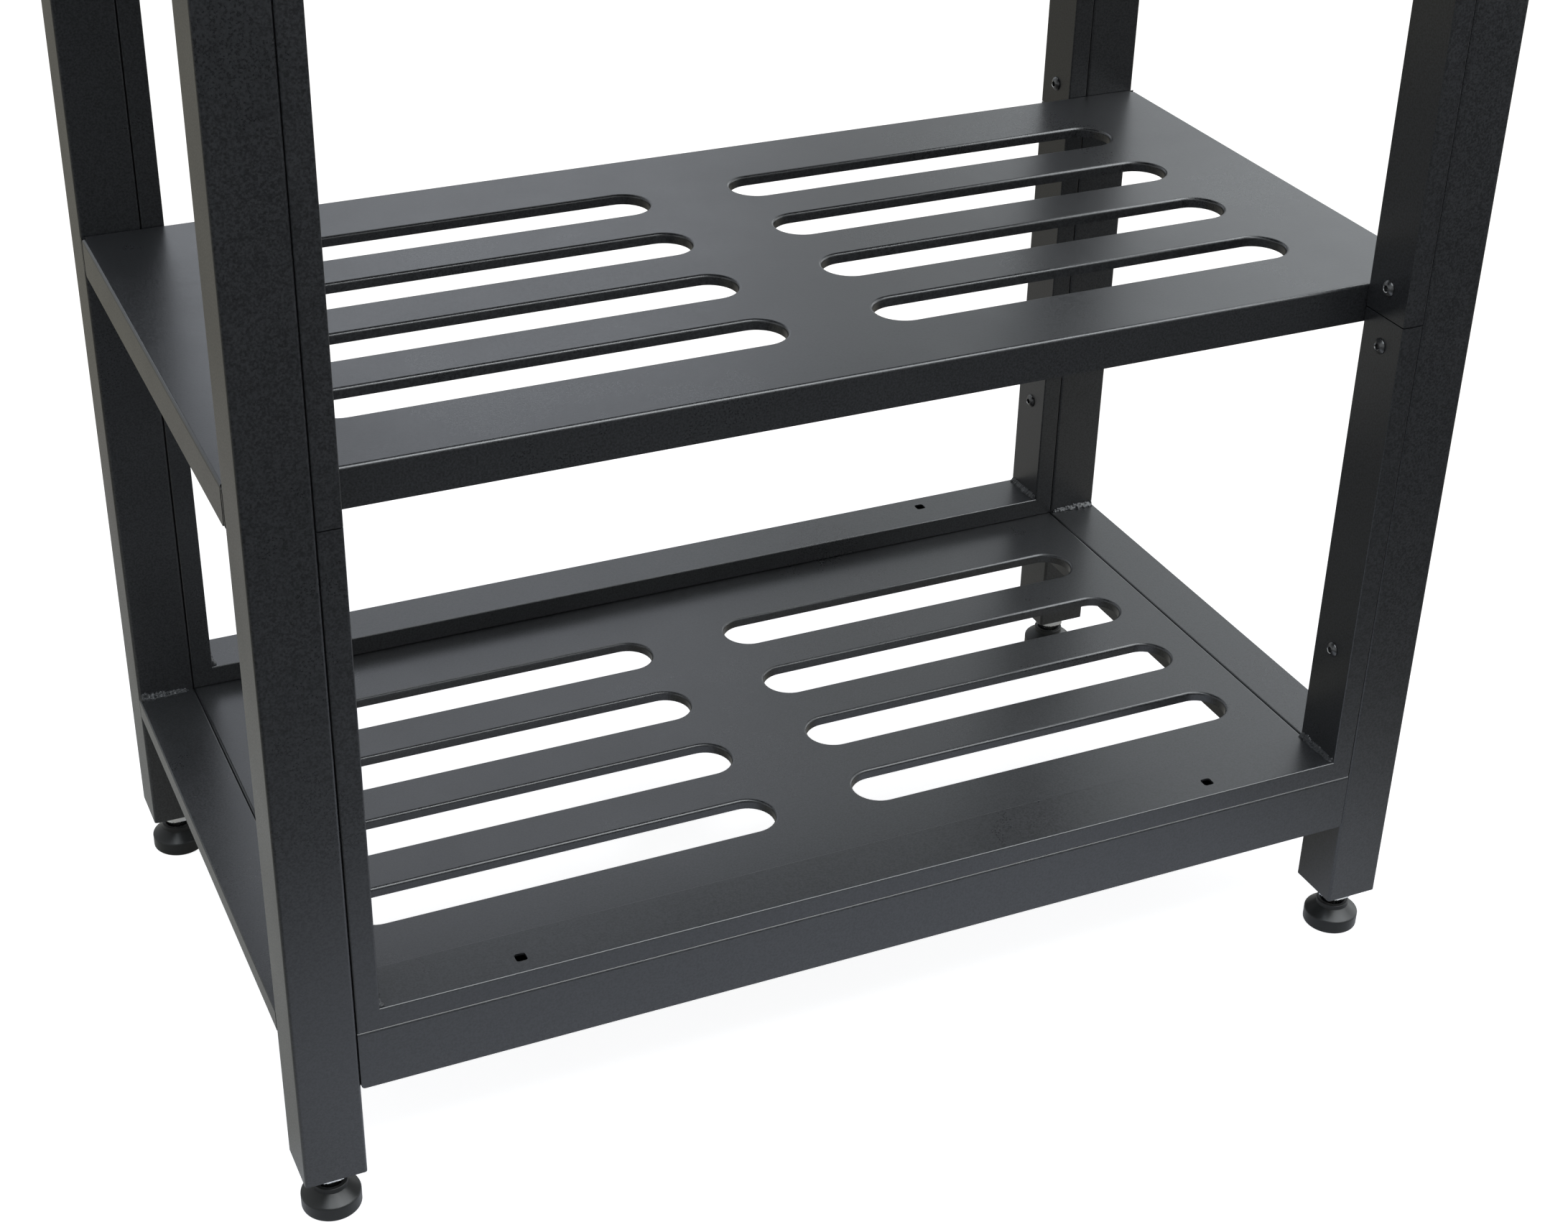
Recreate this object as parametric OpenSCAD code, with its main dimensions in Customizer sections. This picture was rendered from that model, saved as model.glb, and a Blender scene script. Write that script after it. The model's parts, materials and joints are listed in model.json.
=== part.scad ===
// Outdoor kitchen module: a bolted steel frame with two slotted shelves,
// a plain worktop and four levelling feet, in millimetres. +Z is up, +X is
// to the right, the front faces -Y, and the origin is on the floor under the
// middle. The middle shelf is sized to lie between the front and rear legs.

/* [Overall] */
// Width over the legs
module_w = 800; // [760:10:1000]
// Depth over the legs
module_d = 462; // [450:2:600]
// Height of the leg tops, on which the worktop rests
frame_h = 835; // [800:5:900]
// Height of the leg ends above the floor
leg_lift = 35; // [35:1:45]

/* [Legs] */
// Side of the square leg tube
leg_w = 40; // [38:1:50]
// Wall of the leg tube
leg_wall = 2; // [1.5:0.5:2.5]
// Outer corner radius of the leg tube
leg_r = 2; // [1:0.5:2.5]

/* [Flat tube] */
// Thin side of the flat tube of the rails and U-frames
flat_t = 15; // [14:1:20]
// Wall of the flat tube
flat_wall = 1.5; // [1:0.5:2]
// Outer corner radius of the flat tube
flat_r = 1; // [1:0.5:2]

/* [Frame] */
// Top of the lower side rails, level with the bottom shelf
rail_top = 145; // [140:1:180]
// Gap where the lower and upper U-frames meet
joint_gap = 0.8; // [0.4:0.2:2]
// Gap between a leg and what is screwed to it, filled by a rivet nut's lip
fit_gap = 0.3; // [0.2:0.1:0.8]
// Side of the rounded-square holes in the U-frame tubes
tube_hole = 7.5; // [6:0.5:9]
// Distance of those holes from the end of the module
tube_hole_x = 150; // [120:5:250]
// Distance of those holes from the outer face of the tube
tube_hole_y = 14.5; // [12:0.5:20]

/* [Shelves] */
// Thickness of the folded sheet
sheet_t = 1.5; // [1:0.5:2]
// Outer radius of every fold
fold_r = 2; // [2:0.5:3]
// Top of the middle shelf above the floor
shelf_top = 505; // [500:1:515]
// Height of the middle shelf's flanges
shelf_flange = 26; // [24:1:30]
// Height of the bottom shelf's flanges
tray_flange = 43; // [30:1:50]
// Depth of the bottom shelf's screws below its top
tray_screw_drop = 13.5; // [10:0.5:16]
// How far the middle shelf's end flanges stop short of the corners
corner_cut = 4; // [3:0.5:6]
// How far the bottom shelf's end flanges stop short of the corners
tray_corner_cut = 2.2; // [2:0.1:6]
// Radius of the relief hole at each corner of a shelf
relief_r = 1.8; // [1:0.1:2]
// Radius of the flanges' lower corners
flange_corner_r = 2.5; // [1:0.5:4]

/* [Slots] */
// Clear length of a slot
slot_l = 300; // [200:5:310]
// Clear width of a slot
slot_w = 37; // [25:1:45]
// Distance between the rows of slots
slot_pitch = 75; // [60:1:85]
// Number of rows
slot_rows = 4; // [2:1:4]
// Distance of each column's middle from the middle of the shelf
slot_x = 181; // [180:1:185]
// Depth of the formed rim below the top of the shelf
rim_depth = 7; // [5:0.5:12]

/* [Screws] */
// Thread diameter
screw_d = 6; // [5:1:8]
// Clearance hole for a screw
screw_hole = 6.6; // [6.4:0.1:9]
// Button head diameter
head_d = 10.5; // [10:0.5:14]
// Button head height
head_h = 3.3; // [2.5:0.1:4]
// Height of the straight rim below the head's dome
head_rim = 0.6; // [0.3:0.1:1]
// Socket across flats
socket_af = 4; // [3:0.5:5]
// Socket depth
socket_depth = 2; // [1.5:0.1:2.5]
// Length of the screws that hold the U-frames to the legs
frame_screw_l = 30; // [25:1:35]
// Length of the screws that hold the shelves to the legs
shelf_screw_l = 16; // [14:1:20]
// Length of the screws that hold the worktop
top_screw_l = 25; // [22:1:28]
// Diameter of the flange under their heads
top_flange_d = 13.6; // [12:0.2:16]
// Thickness of that flange
top_flange_h = 1; // [0.8:0.1:1.5]
// Distance of a U-frame screw from the joint
screw_from_joint = 20; // [15:1:30]
// Distance of a U-frame screw from the far end of its frame
screw_from_end = 97; // [60:1:120]

/* [Rivet nuts] */
// Body diameter
nut_d = 9; // [8.5:0.1:10]
// Bulb diameter behind the wall
bulb_d = 12; // [11:0.5:13]
// Bulb length
bulb_l = 4; // [3:0.5:6]
// Depth of the nut in the leg
nut_l = 14; // [12:1:18]
// Diameter of the nut's lip
lip_d = 11; // [10.5:0.5:13]

/* [Feet] */
// Stud diameter
stud_d = 12; // [10:1:14]
// Clearance between the stud and its bores, on the diameter
stud_fit = 0.1; // [0.06:0.02:0.2]
// Top of the stud above the floor
stud_top = 78; // [70:1:90]
// Underside of the stud above the floor
stud_bottom = 4.3; // [4.1:0.1:6]
// Hexagon across flats
hex_af = 22; // [19:1:24]
// Hexagon height
hex_h = 6.2; // [5:0.2:8]
// Underside of the hexagon above the floor
hex_bottom = 24.8; // [23:0.2:26]
// Pad diameter
pad_d = 38.5; // [36:0.5:45]
// Height of the pad's collar above the floor
pad_h = 20; // [19:0.5:22]
// Height to which the pad's side stands upright
pad_side = 9.3; // [8:0.1:10]
// Radius of the pad's lower edge
pad_edge_r = 1.5; // [1:0.5:3]
// Radius of the pad's shoulder
pad_shoulder_r = 2; // [1:0.5:3]
// Slope of the pad's dome
pad_slope = 38; // [30:1:45]
// Diameter of the collar on top of the dome
collar_d = 23; // [22:0.5:25]
// Diameter of the flared mouth in the collar, in which the stud can tilt
mouth_d = 18; // [16:0.5:19]
// Depth of that mouth
mouth_depth = 7; // [5:0.5:9]
// Floor of the socket for the stud
socket_floor = 4; // [3:0.5:4]
// Height of the plug in the leg end
insert_h = 25; // [20:1:30]

/* [Worktop] */
// Thickness of the slab
top_t = 20; // [18:1:40]
// Chamfer of its upper edges
top_chamfer = 1.5; // [0.5:0.5:3]
// Diameter of the threaded inserts in its underside
top_insert_d = 10; // [9:0.5:12]
// Length of those inserts
top_insert_l = 12; // [10:1:14]

/* [Hidden] */
$fn = 48;

// Sides, rows and levels, as signs
left = -1;
right = 1;
front = -1;
rear = 1;
lower = -1;
upper = 1;
both = [-1, 1];

half_w = module_w / 2;
half_d = module_d / 2;
leg_x = half_w - leg_w / 2;
leg_y = half_d - leg_w / 2;
leg_inner_x = half_w - leg_w;
leg_inner_y = half_d - leg_w;
joint_z = (rail_top + frame_h) / 2;
frame_half_w = leg_inner_x - fit_gap;
frame_depth = joint_z - rail_top - joint_gap / 2;
tray_half_x = leg_inner_x - fit_gap;
shelf_half_y = leg_inner_y - fit_gap;
shelf_screw_z = shelf_top - shelf_flange / 2;
tray_screw_z = rail_top - tray_screw_drop;
lower_screws = [rail_top + screw_from_end, joint_z - screw_from_joint];
upper_screws = [joint_z + screw_from_joint, frame_h - screw_from_end];
thread_fit = 0.1;
overcut = 1;

powder_coat = [0.17, 0.17, 0.18];
zinc = [0.72, 0.73, 0.74];
black_steel = [0.10, 0.10, 0.11];
black_plastic = [0.07, 0.07, 0.07];
brass = [0.71, 0.60, 0.33];
dark_stone = [0.30, 0.30, 0.31];

// Outlines

module rounded_rect(x, y, r) {
    square([x - 2 * r, y], center = true);
    square([x, y - 2 * r], center = true);
    for (i = both, j = both)
        translate([i * (x / 2 - r), j * (y / 2 - r)])
            circle(r);
}

module tube_section(x, y, wall, r) {
    difference() {
        rounded_rect(x, y, r);
        rounded_rect(x - 2 * wall, y - 2 * wall, r / 2);
    }
}

module stadium(length, width) {
    square([length - width, width], center = true);
    for (i = both)
        translate([i * (length - width) / 2, 0])
            circle(width / 2);
}

// Placing

module flipped(flip, direction) {
    if (flip)
        mirror(direction) children();
    else
        children();
}

// Spots on the legs' inner faces, with +Z pointing into the leg
module leg_side_spots(xs, ys, zs) {
    for (x = xs, y = ys, z = zs)
        translate([x * leg_inner_x, y * leg_y, z])
            rotate([0, 90 * x, 0])
                children();
}

// Spots on the leg faces that look at the middle shelf, +Z into the leg
module leg_shelf_spots(xs, ys) {
    for (x = xs, y = ys)
        translate([x * leg_x, y * leg_inner_y, shelf_screw_z])
            rotate([-90 * y, 0, 0])
                children();
}

// Spots of the rounded-square holes in the U-frame tubes
module tube_hole_spots(ys) {
    for (x = both, y = ys)
        translate([x * (half_w - tube_hole_x), y * (half_d - tube_hole_y), 0])
            children();
}

// Welded side frames

module leg(x, y) {
    color(powder_coat)
        difference() {
            translate([x * leg_x, y * leg_y, leg_lift])
                linear_extrude(frame_h - leg_lift)
                    tube_section(leg_w, leg_w, leg_wall, leg_r);
            leg_side_spots([x], [y], concat(lower_screws, upper_screws, [tray_screw_z]))
                translate([0, 0, -overcut])
                    cylinder(d = nut_d, h = leg_wall + 2 * overcut);
            leg_shelf_spots([x], [y])
                translate([0, 0, -overcut])
                    cylinder(d = nut_d, h = leg_wall + 2 * overcut);
        }
}

module side_rail(x, top) {
    color(powder_coat)
        translate([x * leg_x, 0, top - flat_t / 2])
            rotate([90, 0, 0])
                linear_extrude(2 * leg_inner_y, center = true)
                    tube_section(leg_w, flat_t, flat_wall, flat_r);
}

// U-frames, drawn as the front lower one: the tube lies on z = 0 and the
// uprights stand at its mitred ends

module place_frame(y, level) {
    flipped(y == rear, [0, 1, 0])
        translate([0, -leg_y, level == lower ? rail_top : frame_h])
            flipped(level == upper, [0, 0, 1])
                children();
}

module mitre(points) {
    rotate([90, 0, 0])
        linear_extrude(leg_w + 2 * overcut, center = true)
            polygon(points);
}

module frame_tube(y, level) {
    color(powder_coat)
        difference() {
            place_frame(y, level)
                intersection() {
                    translate([0, 0, flat_t / 2])
                        rotate([0, 90, 0])
                            linear_extrude(2 * frame_half_w, center = true)
                                tube_section(flat_t, leg_w, flat_wall, flat_r);
                    mitre([
                        [-frame_half_w, 0], [frame_half_w, 0],
                        [frame_half_w - flat_t, flat_t],
                        [-(frame_half_w - flat_t), flat_t]
                    ]);
                }
            tube_hole_spots([y])
                translate([0, 0, (level == lower ? rail_top : frame_h - flat_t) - overcut])
                    linear_extrude(flat_t + 2 * overcut)
                        rounded_rect(tube_hole, tube_hole, tube_hole / 4);
        }
}

module upright(x, y, level) {
    inner = frame_half_w - flat_t;
    color(powder_coat)
        difference() {
            place_frame(y, level)
                flipped(x == right, [1, 0, 0])
                    intersection() {
                        translate([-(frame_half_w - flat_t / 2), 0, 0])
                            linear_extrude(frame_depth)
                                tube_section(flat_t, leg_w, flat_wall, flat_r);
                        mitre([
                            [-frame_half_w, 0], [-inner, flat_t],
                            [-inner, frame_depth], [-frame_half_w, frame_depth]
                        ]);
                    }
            leg_side_spots([x], [y], level == lower ? lower_screws : upper_screws)
                translate([0, 0, -(fit_gap + flat_t + overcut)])
                    cylinder(d = screw_hole, h = flat_t + 2 * overcut);
        }
}

// Folded shelves

// Section of a fold: the sheet's top is at y = 0 and the flange that hangs
// from it has its outer face at x = 0
module fold_section(height) {
    translate([-sheet_t, -height])
        square([sheet_t, height - fold_r]);
    intersection() {
        translate([-fold_r, -fold_r])
            difference() {
                circle(fold_r);
                circle(fold_r - sheet_t);
            }
        translate([-fold_r, -fold_r])
            square(fold_r);
    }
}

// A straight flange that faces +X
module flange(length, height) {
    rotate([90, 0, 0])
        linear_extrude(length, center = true)
            fold_section(height);
}

// The same with its lower corners rounded
module rounded_flange(length, height) {
    r = flange_corner_r;
    intersection() {
        flange(length, height);
        translate([-2 * fold_r, 0, 0])
            rotate([90, 0, 90])
                linear_extrude(3 * fold_r) {
                    translate([-length / 2, r - height])
                        square([length, height]);
                    translate([r - length / 2, -height])
                        square([length - 2 * r, height]);
                    for (i = both)
                        translate([i * (length / 2 - r), r - height])
                            circle(r);
                }
    }
}

// The formed rim round one slot: a flange that faces inwards all the way
module slot_rim() {
    straight = slot_l - slot_w;
    for (i = both)
        translate([0, i * slot_w / 2, 0])
            rotate(-90 * i)
                flange(straight, rim_depth);
    for (i = both)
        translate([i * straight / 2, 0, 0])
            rotate(-90 * i)
                rotate_extrude(angle = 180, $fn = 64)
                    translate([slot_w / 2, 0])
                        mirror([1, 0])
                            fold_section(rim_depth);
}

module slot_spots() {
    for (i = both, row = [0 : slot_rows - 1])
        translate([i * slot_x, (row - (slot_rows - 1) / 2) * slot_pitch, 0])
            children();
}

// A shelf with its top at z = 0, whose front and rear flanges run its whole
// length and whose end flanges stop short of the open corners
module folded_shelf(half_x, half_y, height, cut) {
    difference() {
        union() {
            translate([0, 0, -sheet_t])
                linear_extrude(sheet_t)
                    difference() {
                        square([2 * (half_x - fold_r), 2 * (half_y - fold_r)], center = true);
                        slot_spots() stadium(slot_l + 2 * fold_r, slot_w + 2 * fold_r);
                    }
            for (turn = [90, 270])
                rotate(turn)
                    translate([half_y, 0, 0])
                        rounded_flange(2 * half_x, height);
            for (turn = [0, 180])
                rotate(turn)
                    translate([half_x, 0, 0])
                        rounded_flange(2 * (half_y - cut), height);
            slot_spots() slot_rim();
        }
        for (i = both, j = both)
            translate([i * (half_x - fold_r), j * (half_y - fold_r - relief_r), -fold_r - overcut])
                cylinder(r = relief_r, h = fold_r + 2 * overcut);
    }
}

module bottom_shelf() {
    color(powder_coat)
        difference() {
            translate([0, 0, rail_top])
                folded_shelf(tray_half_x, half_d, tray_flange, tray_corner_cut);
            leg_side_spots(both, both, [tray_screw_z])
                translate([0, 0, -(fit_gap + sheet_t + overcut)])
                    cylinder(d = screw_hole, h = sheet_t + fit_gap + overcut);
        }
}

module middle_shelf() {
    color(powder_coat)
        difference() {
            translate([0, 0, shelf_top])
                folded_shelf(half_w, shelf_half_y, shelf_flange, corner_cut);
            leg_shelf_spots(both, both)
                translate([0, 0, -(fit_gap + sheet_t + overcut)])
                    cylinder(d = screw_hole, h = sheet_t + fit_gap + overcut);
        }
}

// Fasteners, drawn along +Z with the head's seat at z = 0

module button_screw(length, flange_d = 0) {
    rise = head_h - head_rim;
    dome_r = (head_d * head_d / 4 + rise * rise) / (2 * rise);
    difference() {
        union() {
            cylinder(d = screw_d, h = length);
            intersection() {
                translate([0, 0, -head_h])
                    cylinder(d = head_d, h = head_h);
                translate([0, 0, dome_r - head_h])
                    sphere(dome_r);
            }
            if (flange_d > 0)
                translate([0, 0, -top_flange_h])
                    cylinder(d = flange_d, h = top_flange_h);
        }
        translate([0, 0, -head_h - overcut])
            cylinder(d = socket_af / cos(30), h = socket_depth + overcut, $fn = 6);
    }
}

module rivet_nut() {
    difference() {
        union() {
            translate([0, 0, -fit_gap])
                cylinder(d = lip_d, h = fit_gap);
            cylinder(d = nut_d, h = nut_l);
            translate([0, 0, leg_wall])
                cylinder(d = bulb_d, h = bulb_l);
        }
        translate([0, 0, -fit_gap - overcut])
            cylinder(d = screw_d + thread_fit, h = nut_l + fit_gap + 2 * overcut);
    }
}

module frame_screws() {
    color(black_steel)
        leg_side_spots(both, both, concat(lower_screws, upper_screws))
            translate([0, 0, -(fit_gap + flat_t)])
                button_screw(frame_screw_l);
}

module shelf_screws() {
    color(black_steel) {
        leg_side_spots(both, both, [tray_screw_z])
            translate([0, 0, -(fit_gap + sheet_t)])
                button_screw(shelf_screw_l);
        leg_shelf_spots(both, both)
            translate([0, 0, -(fit_gap + sheet_t)])
                button_screw(shelf_screw_l);
    }
}

module rivet_nuts() {
    color(zinc) {
        leg_side_spots(both, both, concat(lower_screws, upper_screws, [tray_screw_z]))
            rivet_nut();
        leg_shelf_spots(both, both)
            rivet_nut();
    }
}

// Worktop, a plain slab screwed up from below through the upper tubes

module worktop() {
    color(dark_stone)
        difference() {
            translate([-half_w, -half_d, frame_h])
                cube([module_w, module_d, top_t]);
            for (i = both) {
                translate([i * half_w, 0, frame_h + top_t])
                    rotate([0, 45, 0])
                        cube([top_chamfer * sqrt(2), module_d + 2 * overcut, top_chamfer * sqrt(2)], center = true);
                translate([0, i * half_d, frame_h + top_t])
                    rotate([45, 0, 0])
                        cube([module_w + 2 * overcut, top_chamfer * sqrt(2), top_chamfer * sqrt(2)], center = true);
            }
            tube_hole_spots(both)
                translate([0, 0, frame_h - overcut])
                    cylinder(d = top_insert_d, h = top_insert_l + overcut);
        }
}

module worktop_inserts() {
    color(brass)
        tube_hole_spots(both)
            translate([0, 0, frame_h])
                difference() {
                    cylinder(d = top_insert_d, h = top_insert_l);
                    translate([0, 0, -overcut])
                        cylinder(d = screw_d + thread_fit, h = top_insert_l + 2 * overcut);
                }
}

module worktop_screws() {
    color(black_steel)
        tube_hole_spots(both)
            translate([0, 0, frame_h - flat_t])
                button_screw(top_screw_l, flange_d = top_flange_d);
}

// Levelling feet

module place_foot(x, y) {
    translate([x * leg_x, y * leg_y, 0])
        children();
}

module leg_insert(x, y) {
    side = leg_w - 2 * leg_wall;
    corner = leg_r / 2 + 0.5;
    skirt = 2.5;
    floor_t = 3;
    boss_d = stud_d + 8;
    web_l = side + 6;
    web_h = insert_h - 2;
    color(black_plastic)
        place_foot(x, y)
            translate([0, 0, leg_lift])
                difference() {
                    union() {
                        linear_extrude(floor_t)
                            rounded_rect(side, side, corner);
                        linear_extrude(insert_h)
                            difference() {
                                rounded_rect(side, side, corner);
                                rounded_rect(side - 2 * skirt, side - 2 * skirt, corner);
                            }
                        cylinder(d = boss_d, h = insert_h);
                        for (turn = [45, 135])
                            rotate(turn)
                                linear_extrude(web_h)
                                    square([web_l, skirt], center = true);
                    }
                    translate([0, 0, -overcut])
                        cylinder(d = stud_d + stud_fit, h = insert_h + 2 * overcut);
                }
}

module pad_outline() {
    lower_x = pad_d / 2 - pad_edge_r;
    shoulder_x = pad_d / 2 - pad_shoulder_r;
    tangent_x = shoulder_x + pad_shoulder_r * sin(pad_slope);
    tangent_y = pad_side + pad_shoulder_r * cos(pad_slope);
    dome_top = tangent_y + (tangent_x - collar_d / 2) * tan(pad_slope);
    rim_r = 0.8;
    square([lower_x, pad_side]);
    translate([0, pad_edge_r])
        square([pad_d / 2, pad_side - pad_edge_r]);
    translate([lower_x, pad_edge_r])
        circle(pad_edge_r);
    translate([shoulder_x, pad_side])
        circle(pad_shoulder_r);
    polygon([
        [0, pad_side], [shoulder_x, pad_side], [tangent_x, tangent_y],
        [collar_d / 2, dome_top], [0, dome_top]
    ]);
    square([collar_d / 2, pad_h - rim_r]);
    square([collar_d / 2 - rim_r, pad_h]);
    translate([collar_d / 2 - rim_r, pad_h - rim_r])
        circle(rim_r);
}

module foot_pad(x, y) {
    color(black_plastic)
        place_foot(x, y)
            difference() {
                rotate_extrude()
                    intersection() {
                        pad_outline();
                        square([pad_d, pad_h]);
                    }
                translate([0, 0, socket_floor])
                    cylinder(d = stud_d + stud_fit, h = pad_h);
                translate([0, 0, pad_h - mouth_depth])
                    cylinder(d1 = stud_d + stud_fit, d2 = mouth_d, h = mouth_depth);
            }
}

module foot_stud(x, y) {
    hex_d = hex_af / cos(30);
    over_corners = hex_d + 1;
    top_face_d = hex_af - 0.8;
    chamfer = 1.2;
    color(zinc)
        place_foot(x, y) {
            translate([0, 0, stud_bottom])
                cylinder(d = stud_d, h = stud_top - chamfer - stud_bottom);
            translate([0, 0, stud_top - chamfer])
                cylinder(d1 = stud_d, d2 = stud_d - 2 * chamfer, h = chamfer);
            intersection() {
                translate([0, 0, hex_bottom])
                    cylinder(d = hex_d, h = hex_h, $fn = 6);
                union() {
                    translate([0, 0, hex_bottom])
                        cylinder(d = over_corners, h = hex_h - chamfer);
                    translate([0, 0, hex_bottom + hex_h - chamfer])
                        cylinder(d1 = over_corners, d2 = top_face_d, h = chamfer);
                }
            }
        }
}

leg(left, front);  // leg_front_left
leg(right, front);  // leg_front_right
leg(left, rear);  // leg_rear_left
leg(right, rear);  // leg_rear_right
side_rail(left, rail_top);  // side_rail_lower_left
side_rail(right, rail_top);  // side_rail_lower_right
side_rail(left, frame_h);  // side_rail_upper_left
side_rail(right, frame_h);  // side_rail_upper_right
frame_tube(front, lower);  // front_lower_tube
upright(left, front, lower);  // front_lower_upright_left
upright(right, front, lower);  // front_lower_upright_right
frame_tube(front, upper);  // front_upper_tube
upright(left, front, upper);  // front_upper_upright_left
upright(right, front, upper);  // front_upper_upright_right
frame_tube(rear, lower);  // rear_lower_tube
upright(left, rear, lower);  // rear_lower_upright_left
upright(right, rear, lower);  // rear_lower_upright_right
frame_tube(rear, upper);  // rear_upper_tube
upright(left, rear, upper);  // rear_upper_upright_left
upright(right, rear, upper);  // rear_upper_upright_right
bottom_shelf();
middle_shelf();
worktop();
frame_screws();
shelf_screws();
rivet_nuts();
worktop_screws();
worktop_inserts();
leg_insert(left, front);  // leg_insert_front_left
leg_insert(right, front);  // leg_insert_front_right
leg_insert(left, rear);  // leg_insert_rear_left
leg_insert(right, rear);  // leg_insert_rear_right
foot_pad(left, front);  // foot_pad_front_left
foot_pad(right, front);  // foot_pad_front_right
foot_pad(left, rear);  // foot_pad_rear_left
foot_pad(right, rear);  // foot_pad_rear_right
foot_stud(left, front);  // foot_stud_front_left
foot_stud(right, front);  // foot_stud_front_right
foot_stud(left, rear);  // foot_stud_rear_left
foot_stud(right, rear);  // foot_stud_rear_right
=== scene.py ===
import json
import math

import bpy
from mathutils import Euler, Matrix, Vector, noise


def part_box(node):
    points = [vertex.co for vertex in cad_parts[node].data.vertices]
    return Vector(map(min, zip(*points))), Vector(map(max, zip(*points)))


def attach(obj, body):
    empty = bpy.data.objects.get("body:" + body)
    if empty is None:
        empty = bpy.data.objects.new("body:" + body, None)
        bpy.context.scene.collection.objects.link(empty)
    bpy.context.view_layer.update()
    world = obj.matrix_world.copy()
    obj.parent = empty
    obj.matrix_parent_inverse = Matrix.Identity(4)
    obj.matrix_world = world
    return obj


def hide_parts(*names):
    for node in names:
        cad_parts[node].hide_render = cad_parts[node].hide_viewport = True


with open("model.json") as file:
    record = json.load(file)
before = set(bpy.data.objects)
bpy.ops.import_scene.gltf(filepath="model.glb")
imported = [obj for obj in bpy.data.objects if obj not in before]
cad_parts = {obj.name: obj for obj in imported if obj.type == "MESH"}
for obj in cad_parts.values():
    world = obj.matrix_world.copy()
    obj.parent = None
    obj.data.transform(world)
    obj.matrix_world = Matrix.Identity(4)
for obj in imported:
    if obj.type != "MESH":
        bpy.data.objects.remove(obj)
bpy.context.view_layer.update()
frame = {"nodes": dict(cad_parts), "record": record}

MM = 0.001

# An outdoor kitchen module on white paper, with modelled screws, threads and welds

# Camera: placed by the perspective of the photograph's straight edges
PHOTO_W = 2183
PHOTO_H = 1708
SENSOR_MM = 36.0
FOCAL_PX = 3529.0
CENTRE_PX = (1036.5, 864.2)
CAMERA_AT = (-0.6376, -1.4041, 1.1446)
CAMERA_TURN = (59.23, -0.84, -23.78)


def make_camera():
    data = bpy.data.cameras.new("camera")
    data.sensor_width = SENSOR_MM
    data.lens = SENSOR_MM * FOCAL_PX / PHOTO_W
    data.shift_x = (PHOTO_W / 2 - CENTRE_PX[0]) / PHOTO_W
    data.shift_y = (CENTRE_PX[1] - PHOTO_H / 2) / PHOTO_W
    camera = bpy.data.objects.new("camera", data)
    camera.location = CAMERA_AT
    camera.rotation_euler = Euler([math.radians(a) for a in CAMERA_TURN], "XYZ")
    bpy.context.scene.collection.objects.link(camera)
    bpy.context.scene.camera = camera
    bpy.context.scene.view_settings.view_transform = "Standard"


# Shader node helpers

def feed(tree, value, socket):
    """Sets a socket to a number or a tuple, or joins another node's output to it."""
    if isinstance(value, (int, float, tuple)):
        socket.default_value = value
    else:
        tree.links.new(value, socket)


def between(tree, amount, low, high, span=(0.0, 1.0)):
    """Goes from low to high, each a number or an output, as amount crosses the span."""
    node = tree.nodes.new("ShaderNodeMapRange")
    node.inputs["From Min"].default_value = span[0]
    node.inputs["From Max"].default_value = span[1]
    tree.links.new(amount, node.inputs["Value"])
    feed(tree, low, node.inputs["To Min"])
    feed(tree, high, node.inputs["To Max"])
    return node.outputs["Result"]


def colours(tree, amount, low, high):
    """Mixes two colours, each a tuple or an output."""
    node = tree.nodes.new("ShaderNodeMix")
    node.data_type = "RGBA"
    tree.links.new(amount, node.inputs["Factor"])
    for name, colour in (("A", low), ("B", high)):
        value = (*colour, 1.0) if isinstance(colour, tuple) else colour
        feed(tree, value, node.inputs[name])
    return node.outputs["Result"]


def number_math(tree, operation, a, b):
    """Works on two numbers, each plain or an output."""
    node = tree.nodes.new("ShaderNodeMath")
    node.operation = operation
    feed(tree, a, node.inputs[0])
    feed(tree, b, node.inputs[1])
    return node.outputs["Value"]


def vector_math(tree, operation, a, b=None):
    """Works on the vector a and, where the operation takes two, the tuple b."""
    node = tree.nodes.new("ShaderNodeVectorMath")
    node.operation = operation
    tree.links.new(a, node.inputs[0])
    if b is not None:
        node.inputs[1].default_value = b
    return node.outputs["Value" if operation in ("LENGTH", "DOT_PRODUCT") else "Vector"]


def seen_by(tree, *rays):
    """One for rays of the named kinds, and zero for all others."""
    path = tree.nodes.new("ShaderNodeLightPath")
    total = path.outputs[rays[0]]
    for name in rays[1:]:
        total = number_math(tree, "MAXIMUM", total, path.outputs[name])
    return total


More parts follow.
